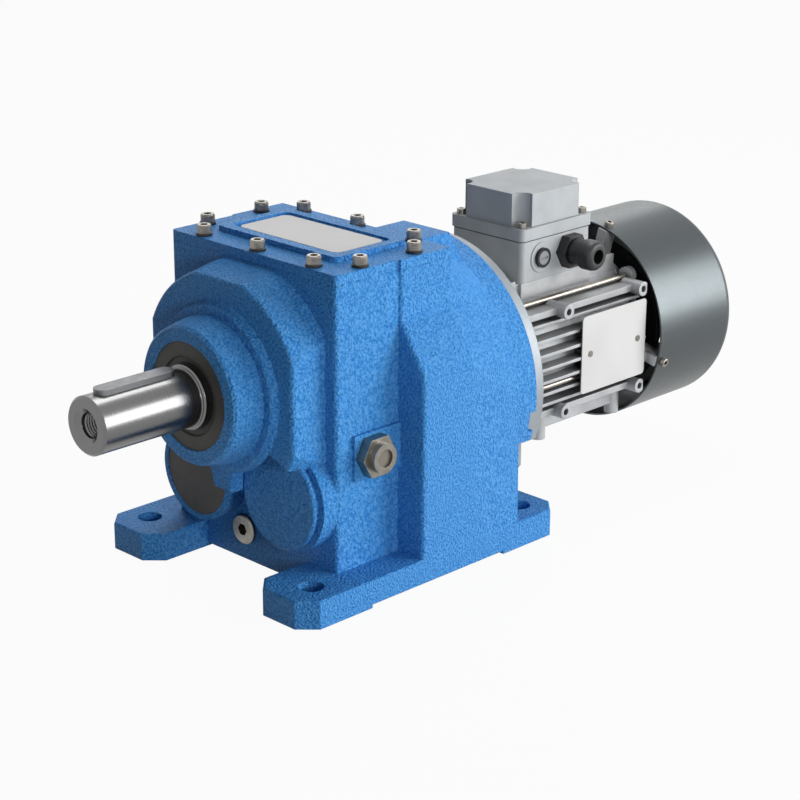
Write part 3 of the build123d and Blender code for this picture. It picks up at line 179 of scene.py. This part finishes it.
def enamel_on_sand_casting():
    """Blue machine enamel sprayed on sand-cast iron: glossy, and the grain of the mould shows through it.

    The grains are drawn 1.7 mm across, coarser than foundry sand, so that they show in the render.
    """
    material, tree, shader = surface("enamel_on_sand_casting", "#3A88D0", 0.36, Specular_IOR_Level=0.13,
                                     Specular_Tint=linear("#A8D2FF"))
    sand = grain(tree, 1.7, 2.0)
    swell = grain(tree, 12.0, 1.0)
    first = relief(tree, shader, swell, 1.6, 0.6, edge_mm=1.0)
    relief(tree, shader, sand, 2.2, 1.0, below=first)
    # Speckles on the grain: partly thin spots of enamel, partly painted glints; the lighter colour is raised
    # to stand in for gloss glints.
    shift_colour(tree, shader, sand, "#2E7EC9", "#5BA2E2", 0.36, 0.64)
    shift_roughness(tree, shader, sand, 0.3, 0.46)
    return material


def turned_steel(name, colour, axis_z, roughness=0.24, groove_mm=0.5):
    """Steel turned on a lathe: fine rings round its axis, on the barrel and on the end faces alike.

    The feed marks are drawn half a millimetre apart, coarser than real ones, so that they show.
    """
    material, tree, shader = surface(name, colour, roughness, 1.0)
    place = add(tree, "ShaderNodeTexCoord").outputs["Object"]
    centred = add(tree, "ShaderNodeMapping", {"Location": (0.0, 0.0, -axis_z * mm)}, {"Vector": place})
    parts = add(tree, "ShaderNodeSeparateXYZ", links={"Vector": centred.outputs["Vector"]})
    flat = add(tree, "ShaderNodeCombineXYZ", links={"Y": parts.outputs["Y"], "Z": parts.outputs["Z"]})
    radius = add(tree, "ShaderNodeVectorMath", links={0: flat.outputs["Vector"]}, operation="LENGTH")
    track = add(tree, "ShaderNodeCombineXYZ", links={"X": parts.outputs["X"], "Y": radius.outputs["Value"]})
    rings = grain(tree, groove_mm, 2.0, track.outputs["Vector"])
    relief(tree, shader, rings, 0.05, 0.25, edge_mm=0.6)
    shift_roughness(tree, shader, rings, roughness - 0.04, roughness + 0.05)
    return material


def tumbled_steel(name, low, high, reach_mm=4.0):
    """Cold-headed steel, tumbled and plated: a warm grey, with painted shade in its sockets and recesses."""
    material, tree, shader = surface(name, low, 0.32, 1.0)
    relief(tree, shader, grain(tree, 0.8), 0.04, 0.3, edge_mm=0.3)
    wander = shift_colour(tree, shader, grain(tree, 4.0), low, high)
    # Painted shade: near black in sockets and recesses, reaching reach_mm, where ambient occlusion finds
    # them.
    paint_shade_in_recesses(tree, shader, wander, "#0B0B0B", reach_mm)
    return material


def milled_steel(name, colour, roughness):
    """Plain bright steel with the faint cloudiness of handled metal."""
    material, tree, shader = surface(name, colour, roughness, 1.0)
    relief(tree, shader, grain(tree, 0.8), 0.04, 0.3, edge_mm=0.5)
    shift_roughness(tree, shader, grain(tree, 6.0), roughness - 0.06, roughness + 0.08)
    return material


def die_cast_aluminium(name, low, high, recess_shade, roughness, grit_mm=1.4):
    """Bare pressure-cast aluminium: pale, dull skin with a slight flow pattern, and painted shade in its
    corners and between its fins.
    """
    material, tree, shader = surface(name, low, roughness, 0.3, Specular_IOR_Level=0.3)
    skin = grain(tree, grit_mm, 2.0)
    relief(tree, shader, skin, 0.3, 0.6, edge_mm=1.0)
    flow = shift_colour(tree, shader, grain(tree, 22.0), low, high)
    # Painted shade: the colour goes over to the darker recess colour in corners and between the fins.
    paint_shade_in_recesses(tree, shader, flow, recess_shade, 14.0)
    shift_roughness(tree, shader, skin, roughness - 0.06, roughness + 0.1)
    return material


def grey_lacquer():
    """Pale grey lacquer on the die-cast terminal box: smooth, with a slight orange peel."""
    material, tree, shader = surface("grey_lacquer", "#ADB1B4", 0.42, Specular_IOR_Level=0.15)
    relief(tree, shader, grain(tree, 1.6), 0.25, 0.6, edge_mm=1.0)
    shift_colour(tree, shader, grain(tree, 25.0), "#A8ACAF", "#B3B7BA")
    return material


def drawn_sheet_lacquer():
    """Graphite metallic lacquer on the deep-drawn cowl: satin, so lamps stand in it as long bands."""
    material, tree, shader = surface("drawn_sheet_lacquer", "#565B5D", 0.35, 0.96)
    relief(tree, shader, grain(tree, 30.0, 1.0), 0.25, 0.25, edge_mm=0.8)
    shift_roughness(tree, shader, grain(tree, 3.0), 0.32, 0.38)
    return material


def moulded_polyamide():
    """Black polyamide with spark-eroded mould grain, drawn 0.9 mm, coarser than real, so that it shows."""
    material, tree, shader = surface("moulded_polyamide", "#17181A", 0.45)
    relief(tree, shader, grain(tree, 0.9), 0.06, 0.5, edge_mm=0.6)
    shift_roughness(tree, shader, grain(tree, 5.0), 0.38, 0.5)
    return material


def ringed_polyamide():
    """Blanking plug: a dark seal ring round a button in the colour of the box."""
    material, tree, shader = surface("blanking_plug_polyamide", "#8F9295", 0.5, Specular_IOR_Level=0.3)
    place = add(tree, "ShaderNodeTexCoord").outputs["Object"]
    centred = add(tree, "ShaderNodeMapping", {"Location": (-plug_x * mm, 0.0, -plug_z * mm)},
                  {"Vector": place})
    flat = add(tree, "ShaderNodeVectorMath", {1: (1.0, 0.0, 1.0)}, {0: centred.outputs["Vector"]},
               operation="MULTIPLY")
    radius = add(tree, "ShaderNodeVectorMath", links={0: flat.outputs["Vector"]}, operation="LENGTH")
    edge = {"From Min": plug_button_r * mm, "From Max": (plug_button_r + 0.4) * mm}
    ring = add(tree, "ShaderNodeMapRange", edge, {"Value": radius.outputs["Value"]})
    shift_colour(tree, shader, ring.outputs["Result"], "#8F9295", "#1D1E20", 0.2, 0.8)
    relief(tree, shader, grain(tree, 0.9), 0.05, 0.4, edge_mm=0.4)
    return material


def nitrile_rubber(name="nitrile_rubber", colour="#302F2D"):
    """Dull brown-black seal rubber."""
    material, tree, shader = surface(name, colour, 0.62)
    relief(tree, shader, grain(tree, 1.0), 0.05, 0.5, edge_mm=0.4)
    shift_colour(tree, shader, grain(tree, 9.0), colour, "#3A3835")
    return material


def bare_sheet():
    """White lacquer on aluminium sheet, left without any marking."""
    material, tree, shader = surface("white_lacquered_sheet", "#CBCBCA", 0.4, Specular_IOR_Level=0.2)
    relief(tree, shader, grain(tree, 12.0), 0.05, 0.3, edge_mm=0.3)
    shift_colour(tree, shader, grain(tree, 40.0), "#C8C8C7", "#CECECD")
    return material


def sight_glass():
    """Smoky inspection glass over oil: dark, with a hard gloss."""
    material, tree, shader = surface("inspection_glass", "#6B655A", 0.08, Coat_Weight=0.5)
    relief(tree, shader, grain(tree, 4.0), 0.03, 0.3, edge_mm=0.3)
    return material


def winding_copper():
    """Enamelled copper wire in bundles, lacquered together: reddish, with the ridges of the wires."""
    material, tree, shader = surface("winding_copper", "#A2552B", 0.35, 0.8)
    relief(tree, shader, grain(tree, 1.2), 0.3, 0.8)
    return material


def phenolic_board():
    """Pressed phenolic resin: brown, dull and faintly mottled."""
    material, tree, shader = surface("phenolic_board", "#6A3B22", 0.5)
    relief(tree, shader, grain(tree, 0.9), 0.05, 0.4, edge_mm=0.4)
    shift_colour(tree, shader, grain(tree, 7.0), "#63371F", "#744328")
    return material


def laminated_steel():
    """Edges of stacked steel sheets, half a millimetre each; a wave of scale one has twenty bands a unit."""
    material, tree, shader = surface("laminated_steel", "#5A5B5E", 0.45, 1.0)
    place = add(tree, "ShaderNodeTexCoord").outputs["Object"]
    sheets = add(tree, "ShaderNodeTexWave", {"Scale": 1 / (20 * 0.5 * mm), "Distortion": 0.2},
                 {"Vector": place}, bands_direction="X")
    relief(tree, shader, sheets.outputs["Fac"], 0.1, 0.4)
    return material


def paint_cad_nodes():
    """Gives every CAD node the finish of the real piece, and returns the finishes of the pieces made here."""
    enamel = enamel_on_sand_casting()
    # Screws and plugs get painted shade in their sockets and recesses, reaching 4 mm, and 7 mm on the plugs.
    bright = tumbled_steel("tumbled_stainless_steel", "#847F78", "#96918A")
    plated = tumbled_steel("nickel_plated_plug", "#7F7C74", "#8E8B83", 7.0)
    rings = milled_steel("bearing_steel", "#B5B7B9", 0.16)
    gear = milled_steel("ground_gear_steel", "#8F9194", 0.3)
    shaft = turned_steel("turned_shaft_steel", "#737373", output_axis_z)
    key = milled_steel("drawn_key_steel", "#77787A", 0.42)
    rotor = turned_steel("turned_rotor_steel", "#A9A9A9", motor_axis_z)
    # The third colour of each aluminium finish is the painted shade in its corners and between the fins.
    frame_cast = die_cast_aluminium("die_cast_frame", "#A2A4A6", "#B4B6B8", "#5C5E60", 0.44)
    flange_cast = die_cast_aluminium("die_cast_flange", "#8E9499", "#989EA3", "#6E7378", 0.42)
    lacquer = grey_lacquer()
    black = moulded_polyamide()
    rubber = nitrile_rubber()
    cap = nitrile_rubber("rubber_covered_cap", "#2E2E30")
    sheet = bare_sheet()
    finishes = {
        enamel: ["housing", "top_cover", "cover_gasket", "right_closing_cap"],
        bright: ["cover_screws", "lid_screws", "cowl_screws", "nameplate_rivets", "tie_rods",
                 "flange_bolts"],
        milled_steel("blackened_washer", "#3A3A3A", 0.45): ["cover_washers"],
        plated: ["drain_plug", "oil_sight_plug"],
        rings: [name for name in nodes if name.endswith("_rings")],
        gear: ["output_gear", "output_gear_key", "output_sleeve", "countershaft_1",
               "countershaft_1_wheel", "countershaft_2", "countershaft_2_wheel", "input_pinion"],
        shaft: ["output_shaft"],
        key: ["output_key"],
        rotor: ["motor_shaft"],
        frame_cast: ["motor_frame", "rear_end_shield"],
        flange_cast: ["motor_flange"],
        lacquer: ["terminal_box", "terminal_box_lid"],
        black: ["cable_gland", "cable_gland_nut", "cooling_fan"],
        ringed_polyamide(): ["blanking_plug"],
        rubber: ["output_seal", "motor_shaft_seal", "terminal_box_gasket"],
        cap: ["left_closing_cap"],
        sheet: ["cover_plate", "nameplate"],
        sight_glass(): ["oil_sight_glass"],
        winding_copper(): ["stator_windings"],
        phenolic_board(): ["terminal_board"],
        laminated_steel(): ["stator_core", "rotor_core"],
        drawn_sheet_lacquer(): ["fan_cowl"],
    }
    for material, names in finishes.items():
        for name in names:
            nodes[name].data.materials.clear()
            nodes[name].data.materials.append(material)
    return shaft, bright


# Pieces made here

def group_input(tree, name, kind, value=None):
    """A named input of the tree; its identifier sets it on the modifier."""
    socket = tree.interface.new_socket(name=name, in_out="INPUT", socket_type=kind)
    if value is not None:
        socket.default_value = value
    return socket.identifier


def socket_screw_tree():
    """Geometry Nodes: a knurled socket head screw on every point, each turned by its own angle."""
    tree = bpy.data.node_groups.new("socket_screws", "GeometryNodeTree")
    group_input(tree, "Geometry", "NodeSocketGeometry")
    keys = {
        "Head Radius": group_input(tree, "Head Radius", "NodeSocketFloat", 5.0 * mm),
        "Knurl Height": group_input(tree, "Knurl Height", "NodeSocketFloat", 5.2 * mm),
        "Crown Height": group_input(tree, "Crown Height", "NodeSocketFloat", 0.8 * mm),
        "Socket Radius": group_input(tree, "Socket Radius", "NodeSocketFloat", 2.9 * mm),
        "Socket Floor": group_input(tree, "Socket Floor", "NodeSocketFloat", 2.8 * mm),
        "Shank Radius": group_input(tree, "Shank Radius", "NodeSocketFloat", 3.0 * mm),
        "Shank Length": group_input(tree, "Shank Length", "NodeSocketFloat", 20.0 * mm),
        "Material": group_input(tree, "Material", "NodeSocketMaterial"),
    }
    tree.interface.new_socket(name="Geometry", in_out="OUTPUT", socket_type="NodeSocketGeometry")
    sizes = add(tree, "NodeGroupInput").outputs

    def scaled(value, factor):
        return add(tree, "ShaderNodeMath", {1: factor}, {0: value}, operation="MULTIPLY").outputs[0]

    def block(outlines, height, start=None):
        """A closed block that stands on the filled outlines, which may leave a hole."""
        joined = add(tree, "GeometryNodeJoinGeometry")
        for outline in outlines:
            tree.links.new(outline, joined.inputs["Geometry"])
        filled = add(tree, "GeometryNodeFillCurve", links={"Curve": joined.outputs[0]}, mode="NGONS")
        sheet = filled.outputs["Mesh"]
        if start is not None:
            lift = add(tree, "ShaderNodeCombineXYZ", links={"Z": start}).outputs[0]
            lifted = {"Geometry": sheet, "Translation": lift}
            sheet = add(tree, "GeometryNodeTransform", links=lifted).outputs[0]
        under = add(tree, "GeometryNodeFlipFaces", links={"Mesh": sheet}).outputs[0]
        up = add(tree, "FunctionNodeInputVector", vector=(0.0, 0.0, 1.0)).outputs[0]
        raised = add(tree, "GeometryNodeExtrudeMesh", {"Individual": False},
                     {"Mesh": sheet, "Offset": up, "Offset Scale": height}, mode="FACES").outputs["Mesh"]
        both = add(tree, "GeometryNodeJoinGeometry")
        tree.links.new(under, both.inputs["Geometry"])
        tree.links.new(raised, both.inputs["Geometry"])
        return add(tree, "GeometryNodeMergeByDistance", {"Distance": 0.002 * mm},
                   {"Geometry": both.outputs[0]}).outputs[0]

    star = add(tree, "GeometryNodeCurveStar", {"Points": 36},
               {"Outer Radius": sizes["Head Radius"], "Inner Radius": scaled(sizes["Head Radius"], 0.93)})
    crown = add(tree, "GeometryNodeCurvePrimitiveCircle", {"Resolution": 36},
                {"Radius": scaled(sizes["Head Radius"], 0.9)})
    hexagon = add(tree, "GeometryNodeCurvePrimitiveCircle", {"Resolution": 6},
                  {"Radius": sizes["Socket Radius"]})
    stem = add(tree, "GeometryNodeCurvePrimitiveCircle", {"Resolution": 24},
               {"Radius": sizes["Shank Radius"]})
    below = scaled(sizes["Shank Length"], -1.0)
    socket = hexagon.outputs["Curve"]
    parts = [
        block([star.outputs["Curve"], socket], sizes["Knurl Height"]),
        block([crown.outputs["Curve"], socket], sizes["Crown Height"], sizes["Knurl Height"]),
        block([socket], sizes["Socket Floor"]),
        block([stem.outputs["Curve"]], sizes["Shank Length"], below),
    ]
    screw = add(tree, "GeometryNodeJoinGeometry")
    for part in parts:
        tree.links.new(part, screw.inputs["Geometry"])
    angles = {"Min": (0.0, 0.0, 0.0), "Max": (0.0, 0.0, 1.05), "Seed": 7}
    turn = add(tree, "FunctionNodeRandomValue", angles, data_type="FLOAT_VECTOR")
    placing = {"Points": sizes["Geometry"], "Instance": screw.outputs[0], "Rotation": turn.outputs["Value"]}
    placed = add(tree, "GeometryNodeInstanceOnPoints", links=placing)
    real = add(tree, "GeometryNodeRealizeInstances", links={"Geometry": placed.outputs["Instances"]})
    painted = add(tree, "GeometryNodeSetMaterial",
                  links={"Geometry": real.outputs[0], "Material": sizes["Material"]})
    add(tree, "NodeGroupOutput", links={"Geometry": painted.outputs[0]})
    return tree, keys


def grown(name, tree, keys, points, values):
    """The plain mesh object that a Geometry Nodes tree makes on points."""
    seed_mesh = bpy.data.meshes.new(name + "_points")
    seed_mesh.from_pydata(points, [], [])
    seed = bpy.data.objects.new(name + "_points", seed_mesh)
    bpy.context.scene.collection.objects.link(seed)
    maker = seed.modifiers.new("maker", "NODES")
    maker.node_group = tree
    for label, value in values.items():
        maker[keys[label]] = value
    evaluated = seed.evaluated_get(bpy.context.evaluated_depsgraph_get())
    mesh = bpy.data.meshes.new_from_object(evaluated)
    mesh.name = name
    seed.modifiers.remove(maker)
    bpy.data.objects.remove(seed)
    piece = bpy.data.objects.new(name, mesh)
    bpy.context.scene.collection.objects.link(piece)
    return piece


def socket_head_screws(steel):
    """Knurled screws on the cover of the gearcase."""
    tree, keys = socket_screw_tree()
    places = [(x, y) for x in cover_screw_end_x for y in cover_screw_end_y]
    places += [(x, y) for x in cover_screw_side_x for y in cover_screw_side_y]
    points = [(x * mm, y * mm, cover_screw_seat_z * mm) for x, y in places]
    screws = grown("cover_socket_head_screws", tree, keys, points, {"Material": steel})
    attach(screws, "gearcase")
    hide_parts("cover_screws")


def centre_hole_thread(material):
    """Tapped thread in the centre hole of the output shaft: one helical ridge inside the bore."""
    rows = int(thread_depth / thread_pitch * thread_steps)
    points, faces = [], []
    for k in range(rows + thread_steps + 1):
        turn = 2 * math.pi * k / thread_steps
        for radius, shift in ((thread_root_r, 0.0), (thread_crest_r, thread_pitch / 2)):
            x = thread_mouth_x - thread_pitch * k / thread_steps - shift
            y = radius * math.sin(turn)
            z = output_axis_z + radius * math.cos(turn)
            points.append((x * mm, y * mm, z * mm))
    for k in range(rows):
        root, crest, later = 2 * k, 2 * k + 1, 2 * (k + thread_steps)
        faces.append((root, crest, crest + 2, root + 2))
        faces.append((crest, later, later + 2, crest + 2))
    mesh = bpy.data.meshes.new("shaft_centre_thread")
    mesh.from_pydata(points, [], faces)
    mesh.materials.append(material)
    thread = bpy.data.objects.new("shaft_centre_thread", mesh)
    bpy.context.scene.collection.objects.link(thread)
    wall = thread.modifiers.new("wall", "SOLIDIFY")
    wall.thickness = thread_wall * mm
    wall.offset = -1.0
    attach(thread, "output_train")


# Studio

def camera():
    """The photograph's camera, solved from its straight edges and circles."""
    azimuth, elevation, roll = (math.radians(v) for v in (view_azimuth, view_elevation, view_roll))
    back = Vector((math.sin(azimuth) * math.cos(elevation), -math.cos(azimuth) * math.cos(elevation),
                   math.sin(elevation)))
    level = Vector((math.cos(azimuth), math.sin(azimuth), 0.0))
    upright = back.cross(level)
    right = level * math.cos(roll) + upright * math.sin(roll)
    up = upright * math.cos(roll) - level * math.sin(roll)
    data = bpy.data.cameras.new("camera")
    data.sensor_width = sensor_width
    data.lens = view_focal * sensor_width / picture_side
    data.clip_end = 50.0
    eye = bpy.data.objects.new("camera", data)
    place = back * view_distance + right * view_right + up * view_up
    eye.matrix_world = Matrix.Translation(place) @ Matrix((right, up, back)).transposed().to_4x4()
    bpy.context.scene.collection.objects.link(eye)
    bpy.context.scene.camera = eye


def soft_box(name, place, size, power):
    """A rectangular lamp that looks at the object."""
    data = bpy.data.lights.new(name, "AREA")
    data.shape = "RECTANGLE"
    data.size, data.size_y = size
    data.energy = power
    lamp = bpy.data.objects.new(name, data)
    lamp.location = place
    lamp.rotation_euler = (Vector(lamp_aim) - Vector(place)).to_track_quat("-Z", "Y").to_euler()
    bpy.context.scene.collection.objects.link(lamp)


def studio():
    """Lamps, world and floor."""
    for name, place, size, power in lamps:
        soft_box(name, place, size, power)
    backdrop_world()
    floor()


def seen_directly(tree):
    """One for camera, mirror and glass rays, which see the white backdrop; nought for the rays that light."""
    rays = add(tree, "ShaderNodeLightPath").outputs
    some = add(tree, "ShaderNodeMath", links={0: rays["Is Camera Ray"], 1: rays["Is Glossy Ray"]},
               operation="MAXIMUM")
    return add(tree, "ShaderNodeMath", links={0: some.outputs[0], 1: rays["Is Transmission Ray"]},
               operation="MAXIMUM").outputs[0]


def backdrop_world():
    """White where it is seen, and a faint even light where it lights."""
    world = bpy.data.worlds.new("backdrop")
    world.use_nodes = True
    bpy.context.scene.world = world
    tree = world.node_tree
    lit = tree.nodes["Background"]
    lit.inputs["Color"].default_value = linear("#E8EDF2")
    lit.inputs["Strength"].default_value = world_strength
    white = add(tree, "ShaderNodeBackground", {"Color": linear("#FFFFFF"), "Strength": 1.0})
    mixed = add(tree, "ShaderNodeMixShader",
                links={0: seen_directly(tree), 1: lit.outputs[0], 2: white.outputs[0]})
    tree.links.new(mixed.outputs[0], tree.nodes["World Output"].inputs["Surface"])


def floor():
    """Pale paper that is nearly white where it is seen and keeps a faint shadow."""
    half = floor_half
    mesh = bpy.data.meshes.new("floor")
    corners = [(-half, -half, 0.0), (half, -half, 0.0), (half, half, 0.0), (-half, half, 0.0)]
    mesh.from_pydata(corners, [], [(0, 1, 2, 3)])
    plane = bpy.data.objects.new("floor", mesh)
    bpy.context.scene.collection.objects.link(plane)
    material, tree, shader = surface("white_paper", "#C4C4C4", 0.9)
    relief(tree, shader, grain(tree, 2.0), 0.02, 0.1)
    glow = add(tree, "ShaderNodeEmission", {"Color": linear("#FFFFFF"), "Strength": 1.0})
    share = add(tree, "ShaderNodeMath", {1: floor_glow}, {0: seen_directly(tree)}, operation="MULTIPLY")
    mixed = add(tree, "ShaderNodeMixShader",
                links={0: share.outputs[0], 1: shader.outputs["BSDF"], 2: glow.outputs[0]})
    tree.links.new(mixed.outputs[0], tree.nodes["Material Output"].inputs["Surface"])
    mesh.materials.append(material)


bpy.context.scene.view_settings.view_transform = "Standard"
shaft_steel, screw_steel = paint_cad_nodes()
socket_head_screws(screw_steel)
centre_hole_thread(shaft_steel)
camera()
studio()
